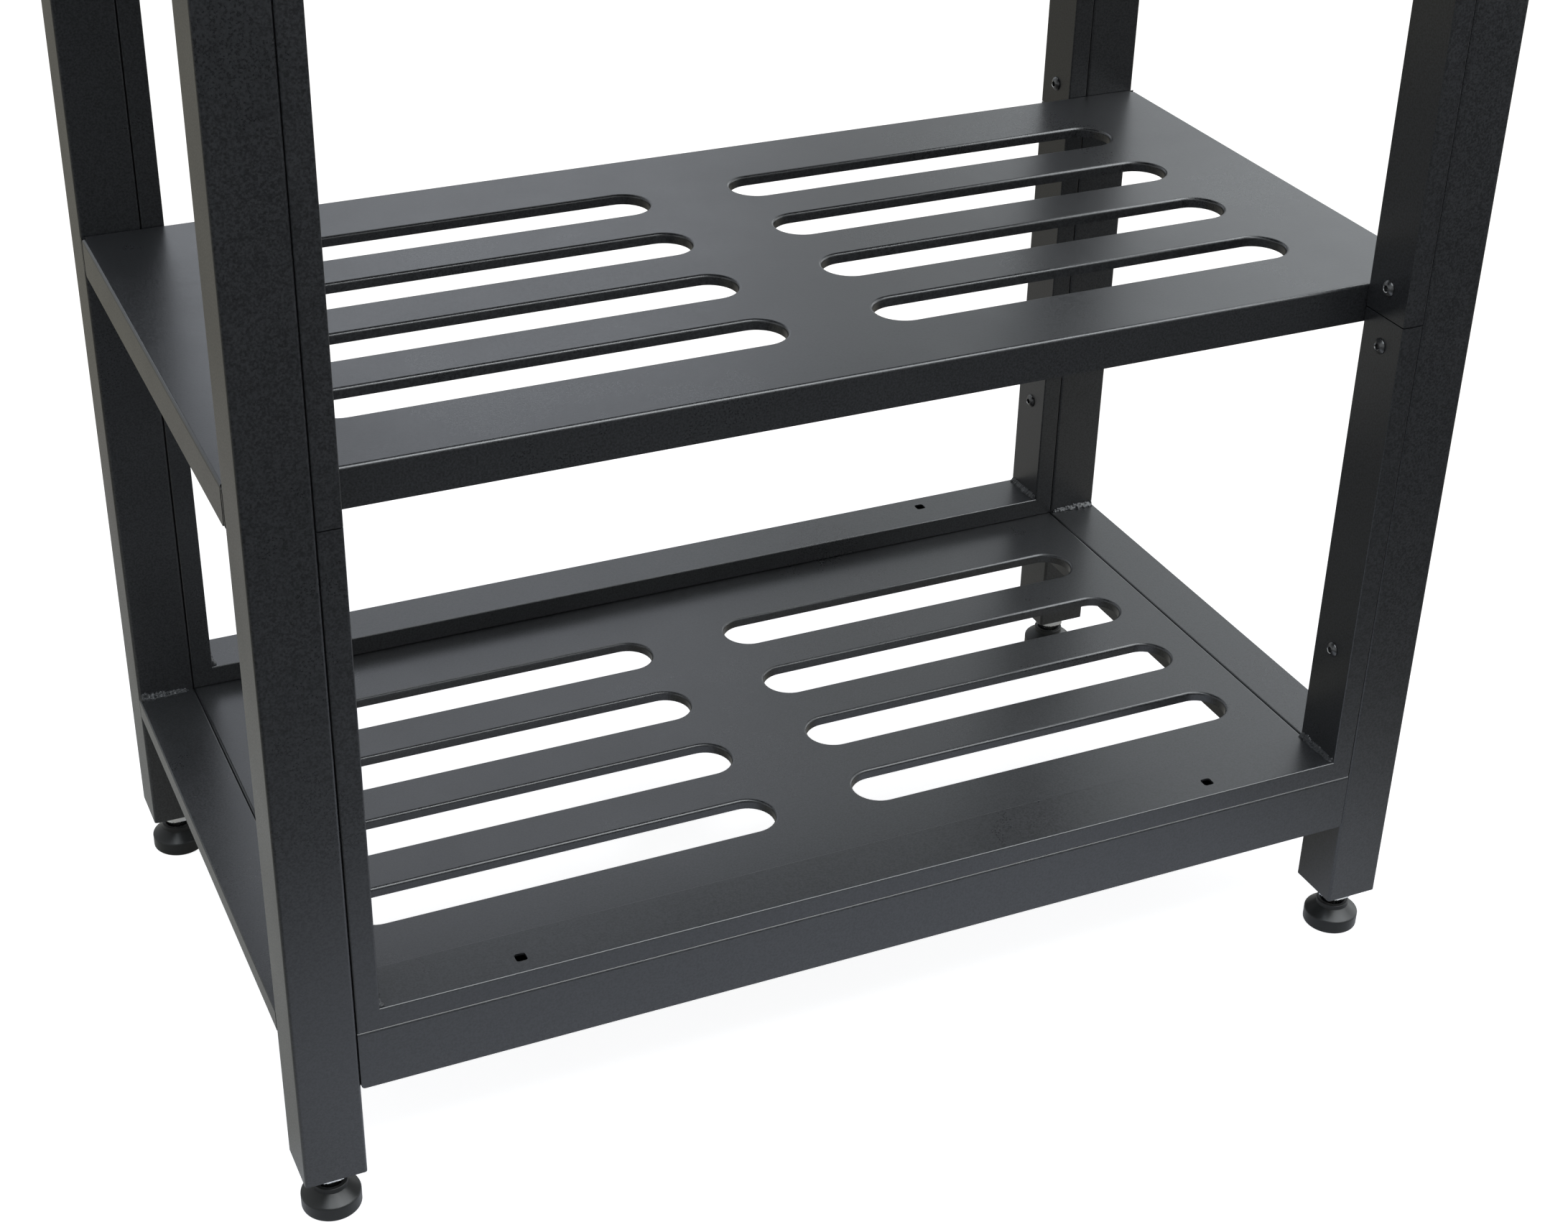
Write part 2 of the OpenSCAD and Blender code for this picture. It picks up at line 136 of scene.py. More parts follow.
class Shading:
    """A material's node tree, with short calls for the nodes that the finishes use."""

    def __init__(self, name):
        self.material = bpy.data.materials.new(name)
        self.material.use_nodes = True
        self.tree = self.material.node_tree
        self.shader = self.tree.nodes["Principled BSDF"]
        self.place = self.tree.nodes.new("ShaderNodeTexCoord").outputs["Object"]

    def fixed(self, **values):
        """Sets numbers that are the same all over the surface."""
        for key, value in values.items():
            self.shader.inputs[key.replace("_", " ")].default_value = value

    def noise(self, scale, detail, rough=0.5):
        node = self.tree.nodes.new("ShaderNodeTexNoise")
        node.inputs["Scale"].default_value = scale
        node.inputs["Detail"].default_value = detail
        node.inputs["Roughness"].default_value = rough
        self.tree.links.new(self.place, node.inputs["Vector"])
        return node.outputs["Fac"]

    def cells(self, scale):
        """The distance to the nearest cell's centre, and that cell's own random value."""
        node = self.tree.nodes.new("ShaderNodeTexVoronoi")
        node.inputs["Scale"].default_value = scale
        self.tree.links.new(self.place, node.inputs["Vector"])
        return node.outputs["Distance"], node.outputs["Color"]

    def spread(self, value, low, high, to_low, to_high):
        """Maps low..high of a value to to_low..to_high, clamped."""
        return between(self.tree, value, to_low, to_high, (low, high))

    def times(self, a, b):
        return number_math(self.tree, "MULTIPLY", a, b)

    def plus(self, a, b):
        return number_math(self.tree, "ADD", a, b)

    def mix(self, amount, a, b):
        return colours(self.tree, amount, a, b)

    def bump(self, height, distance, strength, under=None):
        """Dents of a depth in metres, on top of those of another bump where one is given."""
        node = self.tree.nodes.new("ShaderNodeBump")
        node.inputs["Distance"].default_value = distance
        node.inputs["Strength"].default_value = strength
        self.tree.links.new(height, node.inputs["Height"])
        if under is not None:
            self.tree.links.new(under, node.inputs["Normal"])
        return node.outputs["Normal"]

    def finish(self, colour, roughness, normal=None):
        for name, output in (("Base Color", colour), ("Roughness", roughness), ("Normal", normal)):
            if output is not None:
                self.tree.links.new(output, self.shader.inputs[name])
        return self.material


# Finishes

def powder_coat():
    """Satin black powder coat: fine grain, a slight orange peel, faint smudges and a few specks
    of dust."""
    dark, pale, mottled = (0.010, 0.0105, 0.011), (0.033, 0.034, 0.036), (0.028, 0.028, 0.032)
    dust_tone = (0.35, 0.34, 0.32)
    dust_cover = 0.5
    s = Shading("powder_coat")
    grain = s.noise(760, 2, 0.6)
    mottle = s.noise(420, 3, 0.6)
    smudge = s.noise(9, 4, 0.6)
    tone = s.mix(s.spread(grain, 0.38, 0.62, 0, 1), dark, pale)
    tone = s.mix(s.spread(mottle, 0.35, 0.65, 0, 0.45), tone, mottled)
    distance, lot = s.cells(120)
    near = s.spread(distance, 0.0, 0.035, 1, 0)
    rare = s.spread(lot, 0.955, 0.96, 0, 1)
    dust = s.times(near, rare)
    tone = s.mix(s.times(dust, dust_cover), tone, dust_tone)
    rough = s.spread(smudge, 0.3, 0.7, 0.29, 0.35)
    rough = s.plus(rough, s.spread(grain, 0.38, 0.62, -0.03, 0.05))
    peel = s.bump(mottle, 0.02 * MM, 0.6)
    s.fixed(Specular_IOR_Level=0.5)
    return s.finish(tone, rough, s.bump(grain, 0.03 * MM, 0.6, peel))


def weld_coat():
    """The same coat over a weld, where the metal under it is lumpy and the gloss uneven."""
    dark, pale = (0.009, 0.0095, 0.0105), (0.026, 0.027, 0.030)
    s = Shading("weld_coat")
    lumps = s.noise(520, 3)
    grain = s.noise(1500, 2)
    tone = s.mix(s.spread(lumps, 0.3, 0.7, 0, 1), dark, pale)
    rough = s.spread(lumps, 0.3, 0.7, 0.30, 0.55)
    s.fixed(Specular_IOR_Level=0.3)
    under = s.bump(lumps, 0.1 * MM, 0.6)
    return s.finish(tone, rough, s.bump(grain, 0.06 * MM, 0.6, under))


def zinc_plate():
    """Bright zinc with a faint blue and straw cast and a fine dull grain."""
    blue, straw, dull = (0.58, 0.60, 0.64), (0.66, 0.65, 0.61), (0.42, 0.43, 0.45)
    s = Shading("zinc_plate")
    cast = s.noise(70, 3)
    grain = s.noise(900, 3)
    tone = s.mix(s.spread(cast, 0.35, 0.65, 0, 1), blue, straw)
    tone = s.mix(s.spread(grain, 0.35, 0.75, 0, 0.35), tone, dull)
    s.fixed(Metallic=1.0)
    rough = s.spread(grain, 0.3, 0.7, 0.16, 0.28)
    return s.finish(tone, rough, s.bump(grain, 0.02 * MM, 0.4))


def black_zinc():
    """Black-passivated screws: dark, a little glossy, slightly uneven."""
    dark, pale = (0.012, 0.012, 0.013), (0.030, 0.029, 0.030)
    s = Shading("black_zinc")
    patch = s.noise(300, 3)
    grain = s.noise(2200, 2)
    tone = s.mix(s.spread(patch, 0.35, 0.7, 0, 1), dark, pale)
    s.fixed(Specular_IOR_Level=0.7)
    rough = s.spread(patch, 0.3, 0.7, 0.24, 0.38)
    return s.finish(tone, rough, s.bump(grain, 0.03 * MM, 0.5))


def socket_edge():
    """The rim of a screw's socket, where the key has rubbed the black away."""
    black, bare = (0.10, 0.10, 0.10), (0.50, 0.50, 0.50)
    s = Shading("socket_edge")
    rub = s.noise(1500, 2)
    tone = s.mix(s.spread(rub, 0.4, 0.6, 0, 1), black, bare)
    s.fixed(Metallic=0.9)
    return s.finish(tone, s.spread(rub, 0.3, 0.7, 0.2, 0.4))


def moulded_nylon():
    """Black moulded plastic with a fine texture and faint flow marks."""
    dark, pale = (0.022, 0.0225, 0.0225), (0.032, 0.0325, 0.032)
    s = Shading("moulded_nylon")
    grain = s.noise(1100, 2)
    flow = s.noise(40, 3)
    tone = s.mix(s.spread(flow, 0.3, 0.7, 0, 1), dark, pale)
    s.fixed(Specular_IOR_Level=0.2)
    rough = s.spread(flow, 0.3, 0.7, 0.30, 0.40)
    return s.finish(tone, rough, s.bump(grain, 0.02 * MM, 0.5))


def turned_brass():
    """Turned brass, bright with a slightly uneven grain."""
    dark, pale = (0.60, 0.44, 0.20), (0.72, 0.56, 0.28)
    s = Shading("turned_brass")
    grain = s.noise(1200, 2)
    tone = s.mix(s.spread(grain, 0.3, 0.7, 0, 1), dark, pale)
    s.fixed(Metallic=1.0)
    rough = s.spread(grain, 0.3, 0.7, 0.25, 0.4)
    return s.finish(tone, rough, s.bump(grain, 0.03 * MM, 0.5))


def dark_stone():
    """Honed dark stone: fine crystals in three greys, with a few pale flecks."""
    dark, pale, cloudy = (0.018, 0.018, 0.020), (0.062, 0.062, 0.065), (0.036, 0.037, 0.040)
    fleck_tone = (0.20, 0.20, 0.19)
    fleck_cover = 0.7
    s = Shading("dark_stone")
    _, crystal = s.cells(620)
    cloud = s.noise(14, 5, 0.6)
    tone = s.mix(s.spread(crystal, 0.1, 0.9, 0, 1), dark, pale)
    tone = s.mix(s.spread(cloud, 0.35, 0.7, 0, 0.6), tone, cloudy)
    distance, lot = s.cells(210)
    near = s.spread(distance, 0.10, 0.22, 1, 0)
    rare = s.spread(lot, 0.80, 0.82, 0, 1)
    fleck = s.times(near, rare)
    tone = s.mix(s.times(fleck, fleck_cover), tone, fleck_tone)
    rough = s.spread(crystal, 0.0, 1.0, 0.46, 0.62)
    s.fixed(Specular_IOR_Level=0.28)
    return s.finish(tone, rough, s.bump(s.noise(700, 3), 0.04 * MM, 0.5))


# Mesh helpers

CREASE = 32


def new_piece(name, points, faces, materials, body, crease=CREASE):
    """Makes a mesh piece in metres, in the frame's own place, riding on a body. Edges that turn
    by more than the crease, in degrees, stay sharp."""
    mesh = bpy.data.meshes.new(name)
    mesh.from_pydata([tuple(p) for p in points], [], faces)
    mesh.validate()
    piece = bpy.data.objects.new(name, mesh)
    bpy.context.scene.collection.objects.link(piece)
    for material in materials:
        mesh.materials.append(material)
    mesh.polygons.foreach_set("use_smooth", [True] * len(mesh.polygons))
    mesh.set_sharp_from_angle(angle=math.radians(crease))
    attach(piece, body)
    return piece


def ring_faces(rings, sides, first=0):
    """Faces between rings of points, closed at both ends with one flat face each."""
    faces = []
    for r in range(rings - 1):
        for i in range(sides):
            j = (i + 1) % sides
            a = first + r * sides
            b = a + sides
            faces.append((a + i, a + j, b + j, b + i))
    faces.append(tuple(first + i for i in reversed(range(sides))))
    faces.append(tuple(first + (rings - 1) * sides + i for i in range(sides)))
    return faces


def turned_points(profile, sides):
    """Rings of points about +Z. A profile row is a height and a radius, or a height and a
    function that gives the radius at an angle."""
    points = []
    for z, radius in profile:
        for i in range(sides):
            a = 2 * math.pi * i / sides
            r = radius(a) if callable(radius) else radius
            points.append(Vector((r * math.cos(a), r * math.sin(a), z)))
    return points


def hexagon(across_flats):
    """The radius of a hexagon with that size across flats, at an angle."""
    def radius(a):
        return across_flats / 2 / math.cos(a % (math.pi / 3) - math.pi / 6)
    return radius


# Places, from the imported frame

CORNERS = {
    "front_left": (-1, -1),
    "front_right": (1, -1),
    "rear_left": (-1, 1),
    "rear_right": (1, 1),
}
leg_low, leg_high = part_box("leg_front_right")
LEG_IN_X = leg_low.x
LEG_IN_Y = -leg_high.y
LEG_X = (leg_low.x + leg_high.x) / 2
LEG_Y = -(leg_low.y + leg_high.y) / 2
LEG_W = leg_high.x - leg_low.x
rail_low, rail_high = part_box("side_rail_lower_right")
top_rail_low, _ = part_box("side_rail_upper_right")
upright_low, upright_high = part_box("front_lower_upright_right")
tube_low, tube_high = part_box("front_lower_tube")
top_tube_low, top_tube_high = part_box("front_upper_tube")
UPRIGHT_IN_X = upright_low.x


# Welds, laid as overlapping drops

DROP_PITCH = 2.6 * MM
DROP_REACH = 1.15 * DROP_PITCH
DROP_LEAST = 3
DROP_STRAY = 0.5 * DROP_PITCH
DROP_SIZE = 0.92
DROP_SWELL = 0.3
DROP_FLOOR = 0.05
WELD_STEP = 0.4 * MM
WELD_LEAST_STEPS = 12
WELD_TAPER = 1.4 * MM
WELD_END_SIZE = 0.25
WELD_SUNK = 0.3 * MM
WELD_ARC = 9
WELD_LEAN = 0.3
WELD_LEAN_SPAN = 3 * MM
WELD_LUMP = 0.09
WELD_LUMP_SPAN = 1.5 * MM
WELD_HOLLOW = 0.24
WELD_HOLLOW_POWER = 1.4
WELD_CREASE = 75
WELD_FROM_EDGE = 0.8 * MM
CORNER_WELD = (4.3 * MM, 3.3 * MM)
RAIL_WELD = (5.2 * MM, 2.8 * MM)
RAIL_WELD_SHORT_MM = 4
RAIL_WELD_STRAY_MM = 3
SPATTER = (
    (1.0, 1.2 * MM, 0.9 * MM),
    (0.72, 6.0 * MM, 0.45 * MM),
    (0.31, 8.5 * MM, 0.35 * MM),
)
BALL_SIDES = 8
BALL_RINGS = 5
BALL_LIFT = 0.4


def weld_drops(length, sizes, seed):
    """The place and the size of each drop of a weld. They wander a little."""
    count = max(DROP_LEAST, round(length / DROP_PITCH))
    drops = []
    for k in range(count):
        share = (k + 0.5) / count
        shift = noise.noise(Vector((k * 1.7, seed * 7.3, 0.2)))
        swell = noise.noise(Vector((k * 2.9, seed * 3.7, 5.1)))
        size = sizes[0] + (sizes[1] - sizes[0]) * share
        place = share * length + DROP_STRAY * shift
        drops.append((place, size * (DROP_SIZE + DROP_SWELL * swell)))
    return drops


def weld_reach(at, length, drops):
    """How far a weld reaches from its corner at a place along it. It tapers at both ends."""
    reach = 0.0
    for place, size in drops:
        height = math.sqrt(max(DROP_FLOOR, 1 - ((at - place) / DROP_REACH) ** 2))
        reach = max(reach, size * height)
    taper = min(1.0, (min(at, length - at) / WELD_TAPER) ** 0.5)
    return reach * (WELD_END_SIZE + (1 - WELD_END_SIZE) * taper)


def weld_bead(name, start, end, side_a, side_b, sizes, seed, material, balls=()):
    """A fillet weld from start to end, in the corner between the faces that side_a and side_b
    point along. The sizes are its width at the two ends. The balls are spatter, each a share of
    the length, a distance from the corner along side_a and a radius."""
    start, end = Vector(start), Vector(end)
    side_a, side_b = Vector(side_a), Vector(side_b)
    along = (end - start).normalized()
    length = (end - start).length
    drops = weld_drops(length, sizes, seed)
    steps = max(WELD_LEAST_STEPS, int(length / WELD_STEP))
    points = []
    for i in range(steps + 1):
        at = length * i / steps
        reach = weld_reach(at, length, drops)
        lean = WELD_LEAN * noise.noise(Vector((at / WELD_LEAN_SPAN, seed * 5.9, 9.4)))
        centre = start + along * at
        points.append(centre - WELD_SUNK * (side_a + side_b))
        for k in range(WELD_ARC):
            angle = math.pi / 2 * k / (WELD_ARC - 1)
            flank = abs(math.cos(2 * angle)) ** WELD_HOLLOW_POWER
            bulge = (1 - WELD_HOLLOW) + WELD_HOLLOW * flank
            wave = noise.noise(Vector((at / WELD_LUMP_SPAN, angle * 2.2, seed * 3.1)))
            radius = reach * bulge * (1 + WELD_LUMP * wave) * (1 + lean * math.cos(2 * angle))
            spot = centre + radius * (math.cos(angle) * side_a + math.sin(angle) * side_b)
            if k == 0:
                spot -= WELD_SUNK * side_b
            if k == WELD_ARC - 1:
                spot -= WELD_SUNK * side_a
            points.append(spot)
    faces = ring_faces(steps + 1, WELD_ARC + 1)
    for share, away, radius in balls:
        middle = start + along * (share * length) + side_a * away + side_b * BALL_LIFT * radius
        add_ball(points, faces, middle, radius)
    new_piece(name, points, faces, [material], "frame", WELD_CREASE)


def add_ball(points, faces, centre, radius):
    """Adds a small ball to a list of points and faces."""
    first = len(points)
    profile = []
    for k in range(BALL_RINGS):
        tilt = math.pi * (k + 1) / (BALL_RINGS + 1)
        profile.append((-radius * math.cos(tilt), radius * math.sin(tilt)))
    points += [centre + p for p in turned_points(profile, BALL_SIDES)]
    faces += ring_faces(len(profile), BALL_SIDES, first)


def frame_welds(coat):
    """The welds left unground: inside the U-frames' corners and where the side rails meet the
    legs. A rail's weld stops a few millimetres short of the leg's inner edge."""
    seed = 1
    for corner, (x, y) in CORNERS.items():
        y_in = y * (LEG_IN_Y + WELD_FROM_EDGE)
        y_out = y * (LEG_IN_Y + LEG_W - WELD_FROM_EDGE)
        inner = UPRIGHT_IN_X * x
        for level, z, up in (("lower", tube_high.z, 1), ("upper", top_tube_low.z, -1)):
            weld_bead(
                f"weld_{level}_frame_{corner}", (inner, y_in, z), (inner, y_out, z),
                (-x, 0, 0), (0, 0, up), CORNER_WELD, seed, coat,
            )
            seed += 1
        x_out = x * (LEG_IN_X + LEG_W - WELD_FROM_EDGE)
        for level, z, up in (
            ("rail_top", rail_high.z, 1),
            ("rail_underside", rail_low.z, -1),
            ("upper_rail", top_rail_low.z, -1),
        ):
            stray = noise.noise(Vector((seed * 2.1, 0.4, 7.7)))
            short = (RAIL_WELD_SHORT_MM + RAIL_WELD_STRAY_MM * stray) * MM
            x_end = x * (LEG_IN_X + short)
            weld_bead(
                f"weld_{level}_{corner}", (x_out, y * LEG_IN_Y, z), (x_end, y * LEG_IN_Y, z),
                (0, -y, 0), (0, 0, up), RAIL_WELD, seed, coat, SPATTER,
            )
            seed += 1


# Screws

HEAD_D = 10.5 * MM
HEAD_H = 3.3 * MM
HEAD_RIM = 0.6 * MM
SEAT_BEVEL = 0.15 * MM
RIM_BEVEL = 0.1 * MM
DOME_INSET = 0.05 * MM
DOME_STEPS = 9
SOCKET_AF = 4.0 * MM
SOCKET_DEPTH = 2.0 * MM
SOCKET_LEAD = 0.28 * MM
SOCKET_CONE = 0.5 * MM
SOCKET_CONE_END = 0.4 * MM
THREAD_D = 6.0 * MM
SCREW_CHAMFER = 0.8 * MM
SIDES = 48
SHANK_SIDES = 24
SHEET = 1.5 * MM
NEAR_JOINT = 20 * MM
FROM_FRAME_END = 97 * MM
FROM_TRAY_TOP = 13.5 * MM
FRAME_SCREW = 30 * MM
SHELF_SCREW = 16 * MM


def head_profile():
    """Heights and radii of a button head, from the seat over the dome, and of the hexagon socket
    in it. The head lies below z = 0, its seat at z = 0."""
    rise = HEAD_H - HEAD_RIM
    dome = (HEAD_D ** 2 / 4 + rise ** 2) / (2 * rise)
    flats = hexagon(SOCKET_AF)
    mouth = SOCKET_AF / 2 / math.cos(math.pi / 6) + SOCKET_LEAD
    rows = [
        (0.0, HEAD_D / 2 - SEAT_BEVEL),
        (-SEAT_BEVEL, HEAD_D / 2),
        (-HEAD_RIM + RIM_BEVEL, HEAD_D / 2),
    ]
    for k in range(DOME_STEPS + 1):
        r = HEAD_D / 2 - DOME_INSET - (HEAD_D / 2 - mouth) * k / DOME_STEPS
        z = -HEAD_H + dome - math.sqrt(dome ** 2 - r ** 2)
        rows.append((z, r))
    edge = rows[-1][0]
    socket = [
        (edge + SOCKET_LEAD, flats),
        (edge + SOCKET_DEPTH, flats),
        (edge + SOCKET_DEPTH + SOCKET_CONE, SOCKET_CONE_END),
    ]
    return rows, socket


def add_screw(points, faces, rubbed, place, length):
    """Adds one screw at a place matrix whose +Z runs from the seat into the work. The faces
    around the socket's mouth are listed as rubbed."""
    outside, socket = head_profile()
    head = outside + socket
    first = len(points)
    points += [place @ p for p in turned_points(head, SIDES)]
    start = len(faces)
    made = ring_faces(len(head), SIDES, first)
    faces += [tuple(reversed(f)) for f in made]
    mouth = start + (len(outside) - 1) * SIDES
    rubbed += range(mouth, mouth + SIDES)
    shank = [
        (0.0, THREAD_D / 2),
        (length - SCREW_CHAMFER, THREAD_D / 2),
        (length, THREAD_D / 2 - SCREW_CHAMFER),
    ]
    first = len(points)
    points += [place @ p for p in turned_points(shank, SHANK_SIDES)]
    faces += ring_faces(len(shank), SHANK_SIDES, first)


def screws_piece(name, node, places, length, materials):
    """One piece with a screw at each place, in the place of a node. The second material is for
    the rubbed faces."""
    points, faces, rubbed = [], [], []
    for place in places:
        add_screw(points, faces, rubbed, place, length)
    piece = new_piece(name, points, faces, materials, "frame")
    for i in rubbed:
        piece.data.polygons[i].material_index = 1
    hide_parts(node)


def looking(at, direction, turn):
    """A matrix at a point, with +Z along a direction, turned about it."""
    facing = Vector(direction).to_track_quat("Z", "Y").to_matrix().to_4x4()
    return Matrix.Translation(Vector(at)) @ facing @ Matrix.Rotation(turn, 4, "Z")


def frame_screws(materials):
    """The sixteen button-head screws through the uprights, two each side of every joint, each
    stopped at a turn of its own."""
    joint_z = (upright_high.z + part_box("front_upper_upright_right")[0].z) / 2
    heights = (
        tube_low.z + FROM_FRAME_END, joint_z - NEAR_JOINT,
        joint_z + NEAR_JOINT, top_tube_high.z - FROM_FRAME_END,
    )
    places = []
    for n, (x, y) in enumerate(CORNERS.values()):
        for k, z in enumerate(heights):
            turn = 0.9 * n + 0.37 * k
            places.append(looking((x * UPRIGHT_IN_X, y * LEG_Y, z), (x, 0, 0), turn))
    screws_piece("frame_button_screws", "frame_screws", places, FRAME_SCREW, materials)


def shelf_screws(materials):
    """The eight screws that hold the shelves to the legs."""
    _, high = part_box("bottom_shelf")
    shelf_low, shelf_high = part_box("middle_shelf")
    tray_z = high.z - FROM_TRAY_TOP
    shelf_z = (shelf_low.z + shelf_high.z) / 2
    places = []
    for n, (x, y) in enumerate(CORNERS.values()):
        tray_at = (x * (high.x - SHEET), y * LEG_Y, tray_z)
        places.append(looking(tray_at, (x, 0, 0), 0.5 * n))
        shelf_at = (x * LEG_X, y * (shelf_high.y - SHEET), shelf_z)
        places.append(looking(shelf_at, (0, y, 0), 0.8 + 0.7 * n))
    screws_piece("shelf_button_screws", "shelf_screws", places, SHELF_SCREW, materials)


# Levelling feet

STUD_D = 12 * MM
STUD_SIDES = 36
STUD_CHAMFER = 1.2 * MM
THREAD_PITCH = 1.75 * MM
THREAD_DEPTH = 1.07 * MM
THREAD_STEPS = 8
THREAD_RUN_IN = 1.5 * THREAD_PITCH
THREAD_ABOVE_HEX = 1 * MM
PLAIN_BELOW_THREAD = 0.4 * MM
GROOVE_PEAK = 1.28
GROOVE_SLOPE = 1.65
HEX_AF = 22 * MM
HEX_H = 6.2 * MM
HEX_UP = 20.5 * MM
HEX_CHAMFER = 1.2 * MM
HEX_LOWER_INSET = 0.2 * MM
HEX_UPPER_INSET = 0.4 * MM


def thread_radius(z, first_thread, top):
    """The radius at an angle of a right-hand thread, at a height. The groove deepens over the
    run-in, and its bottom is flat where the peak is cut off."""
    fade = min(1.0, (z - first_thread) / THREAD_RUN_IN)
    tip = max(0.0, STUD_CHAMFER - (top - z))

    def radius(a):
        phase = (z / THREAD_PITCH - a / (2 * math.pi)) % 1.0
        groove = min(1.0, max(0.0, GROOVE_PEAK - abs(2 * phase - 1) * GROOVE_SLOPE))
        return min(STUD_D / 2 - fade * THREAD_DEPTH * groove, STUD_D / 2 - tip)
    return radius


def threaded_rod(bottom, first_thread, top):
    """Rings of a threaded rod, plain below the first thread and chamfered at the top."""
    rows = [(bottom, STUD_D / 2), (first_thread - PLAIN_BELOW_THREAD, STUD_D / 2)]
    count = int((top - first_thread) / THREAD_PITCH * THREAD_STEPS)
    for k in range(count + 1):
        z = first_thread + (top - first_thread) * k / count
        rows.append((z, thread_radius(z, first_thread, top)))
    return rows


def hex_rows(bottom):
    """Rings of the stud's hexagon, with its corners turned off above and below."""
    flats = hexagon(HEX_AF)
    corner = HEX_AF / 2 / math.cos(math.pi / 6)
    half_way = (HEX_AF / 2 + corner) / 2
    top = bottom + HEX_H

    def cut(limit):
        return lambda a: min(flats(a), limit)
    return [
        (bottom, cut(HEX_AF / 2 - HEX_LOWER_INSET)),
        (bottom + 0.5 * HEX_CHAMFER, cut(half_way)),
        (bottom + HEX_CHAMFER, cut(corner)),
        (top - HEX_CHAMFER, cut(corner)),
        (top - 0.5 * HEX_CHAMFER, cut(half_way)),
        (top, cut(HEX_AF / 2 - HEX_UPPER_INSET)),
    ]


def foot_studs(zinc):
    """The threaded studs of the four feet, each with the hexagon that turns it."""
    for corner in CORNERS:
        node = f"foot_stud_{corner}"
        low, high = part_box(node)
        hex_bottom = low.z + HEX_UP
        centre = Vector(((low.x + high.x) / 2, (low.y + high.y) / 2, 0))
        rod = threaded_rod(low.z, hex_bottom + HEX_H + THREAD_ABOVE_HEX, high.z)
        points = [centre + p for p in turned_points(rod, STUD_SIDES)]
        faces = ring_faces(len(rod), STUD_SIDES)
        nut = hex_rows(hex_bottom)
        first = len(points)
        points += [centre + p for p in turned_points(nut, SIDES)]
        faces += ring_faces(len(nut), SIDES, first)
        name = f"threaded_stud_{corner}"
        piece = new_piece(name, points, faces, [zinc], f"stud_{corner}")
        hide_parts(node)


# Finishes on the frame's own nodes

def dress_nodes(finishes):
    slots = {row["node"]: row["material_slot"] for row in frame["record"]["subparts"]}
    for name, node in frame["nodes"].items():
        node.data.materials.clear()
        node.data.materials.append(finishes[slots[name]])


# Floor, background and light

BLACK = (0.0, 0.0, 0.0)
WHITE = (1.0, 1.0, 1.0)
FLOOR_HALF = 8.0


def stage_and_light():
    """White paper on the floor of a dimmer room, white all round behind it, and soft lamps."""
    mesh = bpy.data.meshes.new("floor")
    corners = [(-FLOOR_HALF, -FLOOR_HALF, 0), (FLOOR_HALF, -FLOOR_HALF, 0)]
    corners += [(FLOOR_HALF, FLOOR_HALF, 0), (-FLOOR_HALF, FLOOR_HALF, 0)]
    mesh.from_pydata(corners, [], [(0, 1, 2, 3)])
    floor = bpy.data.objects.new("floor", mesh)
    bpy.context.scene.collection.objects.link(floor)
    mesh.materials.append(floor_material())
    world_light()
    aim = (0, -0.1, 0.3)
    area_light("spot_front", (0.45, -1.75, 2.25), aim, 0.5, 0.25, 8, (0.95, 0.98, 1.0))
    area_light("spot_right", (1.5, -1.5, 2.25), aim, 0.6, 0.3, 4, (0.95, 0.98, 1.0))
    area_light("ceiling_left", (-0.9, -0.9, 2.6), aim, 1.0, 1.0, 15, (0.82, 0.92, 1.0))
    area_light("window_rear", (0.1, 2.3, 1.9), aim, 2.0, 1.3, 7.7, (0.82, 0.87, 1.0))
    area_light("window_right", (1.9, 1.7, 1.9), aim, 1.6, 1.3, 4.2, (0.88, 0.94, 1.0))


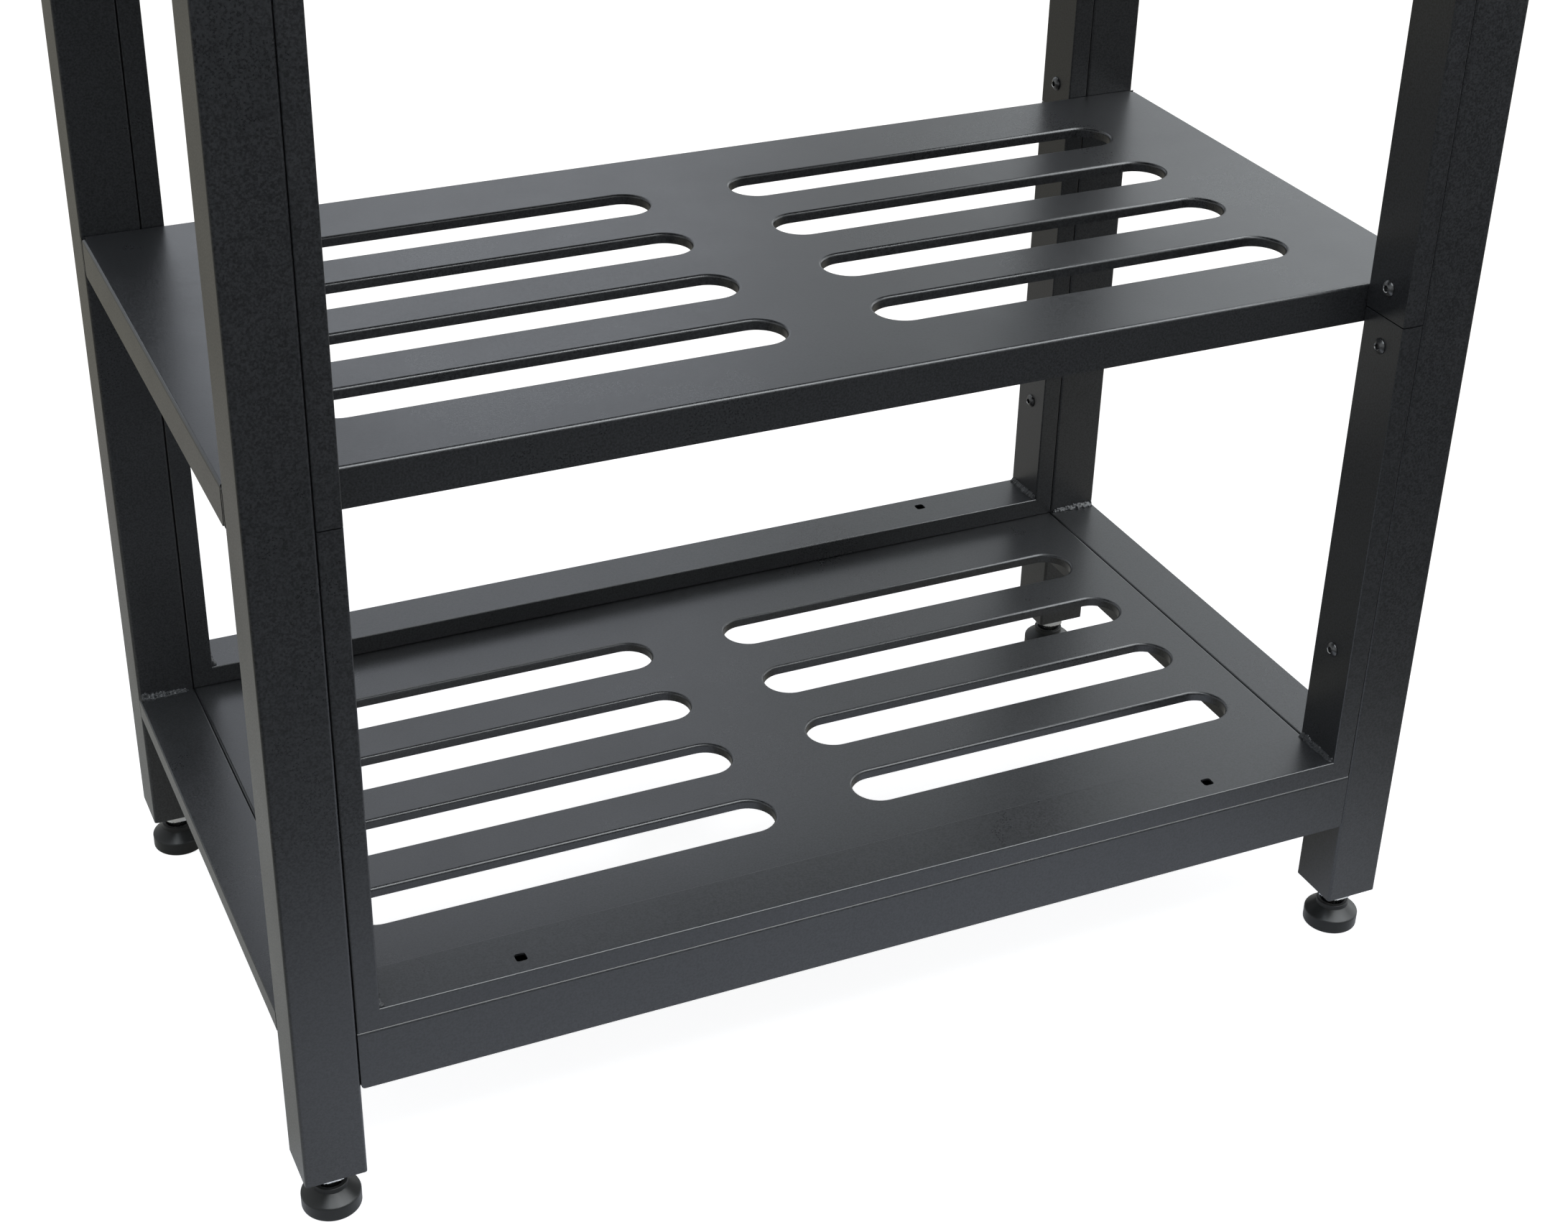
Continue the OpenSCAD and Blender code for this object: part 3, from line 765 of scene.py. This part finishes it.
def floor_material():
    """Matte floor: white paper around the module and a dimmer room further off. It keeps the
    shadow, and the camera sees it lifted to white. Gloss alone sees it glow, a painted
    reflection: a little behind the module's front, a brighter patch in front and another behind."""
    paper_edge = (0.40, 1.0)
    paper, room_front, room_rear = (0.75, 0.75, 0.77), (0.2, 0.2, 0.2), (0.32, 0.3, 0.27)
    front_to_rear = (-0.7, 0.3)
    lift_near, lift_far = 0.86, 1.0
    # Painted reflection: the floor glows faintly for glossy rays behind the module's front
    sheen_rear, sheen_from = (0.19, 0.18, 0.14), (-0.55, -0.25)
    # Painted reflections: patches where the floor glows for glossy rays only, one in front and one
    # behind
    glowing_patches = (
        ((0.0, -0.36, 0), (0.62, 0.30, 1), (0.70, 0.75, 0.86)),
        ((-0.1, 0.80, 0), (0.75, 0.35, 1), (0.28, 0.27, 0.25)),
    )
    glow_patch_edge = (0.55, 1.0)
    material = bpy.data.materials.new("floor")
    material.use_nodes = True
    tree = material.node_tree
    tree.nodes.clear()
    place = tree.nodes.new("ShaderNodeTexCoord").outputs["Object"]
    far = between(tree, vector_math(tree, "LENGTH", place), 0.0, 1.0, paper_edge)
    parts = tree.nodes.new("ShaderNodeSeparateXYZ")
    tree.links.new(place, parts.inputs[0])
    behind = between(tree, parts.outputs["Y"], 0.0, 1.0, front_to_rear)
    tone = colours(tree, far, paper, colours(tree, behind, room_front, room_rear))
    diffuse = tree.nodes.new("ShaderNodeBsdfDiffuse")
    tree.links.new(tone, diffuse.inputs["Color"])
    rearward = between(tree, parts.outputs["Y"], 0.0, 1.0, sheen_from)
    sheen = colours(tree, rearward, BLACK, sheen_rear)
    for centre, size, colour in glowing_patches:
        offset = vector_math(tree, "DIVIDE", vector_math(tree, "SUBTRACT", place, centre), size)
        inside = between(tree, vector_math(tree, "LENGTH", offset), 1.0, 0.0, glow_patch_edge)
        sheen = colours(tree, inside, sheen, colour)
    # Glossy rays see the painted reflection glow, and the camera sees the floor lifted to white
    seen_directly = seen_by(tree, "Is Camera Ray", "Is Transmission Ray")
    glow = tree.nodes.new("ShaderNodeEmission")
    tree.links.new(colours(tree, seen_directly, sheen, WHITE), glow.inputs["Color"])
    lift = between(tree, far, lift_near, lift_far)
    strength = between(tree, seen_directly, seen_by(tree, "Is Glossy Ray"), lift)
    tree.links.new(strength, glow.inputs["Strength"])
    both = tree.nodes.new("ShaderNodeAddShader")
    tree.links.new(diffuse.outputs[0], both.inputs[0])
    tree.links.new(glow.outputs[0], both.inputs[1])
    out = tree.nodes.new("ShaderNodeOutputMaterial")
    tree.links.new(both.outputs[0], out.inputs["Surface"])
    return material


def world_light():
    """Even light from all round, plain white to the camera. Gloss sees a room that is brighter
    overhead and to the sides."""
    ambient, to_camera = 0.36, 1.0
    to_gloss, more_right, more_left, more_overhead = 0.78, 2.4, 0.7, 8.0
    side = (0.5, 0.95)
    overhead, overhead_edge = (0.27, -0.27, 0.92), (0.765, 0.865)
    daylight = (0.94, 0.98, 1.0)
    world = bpy.data.worlds.new("studio")
    bpy.context.scene.world = world
    world.use_nodes = True
    tree = world.node_tree
    back = tree.nodes["Background"]
    place = tree.nodes.new("ShaderNodeTexCoord").outputs["Generated"]
    parts = tree.nodes.new("ShaderNodeSeparateXYZ")
    tree.links.new(place, parts.inputs[0])
    left_span = (-side[1], -side[0])
    left = between(tree, parts.outputs["X"], to_gloss + more_left, to_gloss, left_span)
    sides = between(tree, parts.outputs["X"], left, to_gloss + more_right, side)
    up = vector_math(tree, "DOT_PRODUCT", place, overhead)
    gloss = between(tree, up, sides, to_gloss + more_overhead, overhead_edge)
    indirect = between(tree, seen_by(tree, "Is Glossy Ray"), ambient, gloss)
    direct = seen_by(tree, "Is Camera Ray", "Is Transmission Ray")
    tree.links.new(between(tree, direct, indirect, to_camera), back.inputs["Strength"])
    tree.links.new(colours(tree, direct, daylight, WHITE), back.inputs["Color"])


def area_light(name, at, aim, width, height, power, colour):
    """A rectangular lamp with its middle at a point, facing another."""
    data = bpy.data.lights.new(name, "AREA")
    data.shape = "RECTANGLE"
    data.size = width
    data.size_y = height
    data.energy = power
    data.color = colour
    lamp = bpy.data.objects.new(name, data)
    lamp.location = at
    lamp.rotation_euler = (Vector(aim) - Vector(at)).to_track_quat("-Z", "Y").to_euler()
    bpy.context.scene.collection.objects.link(lamp)


make_camera()
coat = powder_coat()
zinc = zinc_plate()
screw_finish = [black_zinc(), socket_edge()]
dress_nodes({
    "powder_coat": coat,
    "black_screw": screw_finish[0],
    "zinc": zinc,
    "black_plastic": moulded_nylon(),
    "brass": turned_brass(),
    "worktop_slab": dark_stone(),
})
frame_welds(weld_coat())
frame_screws(screw_finish)
shelf_screws(screw_finish)
foot_studs(zinc)
stage_and_light()
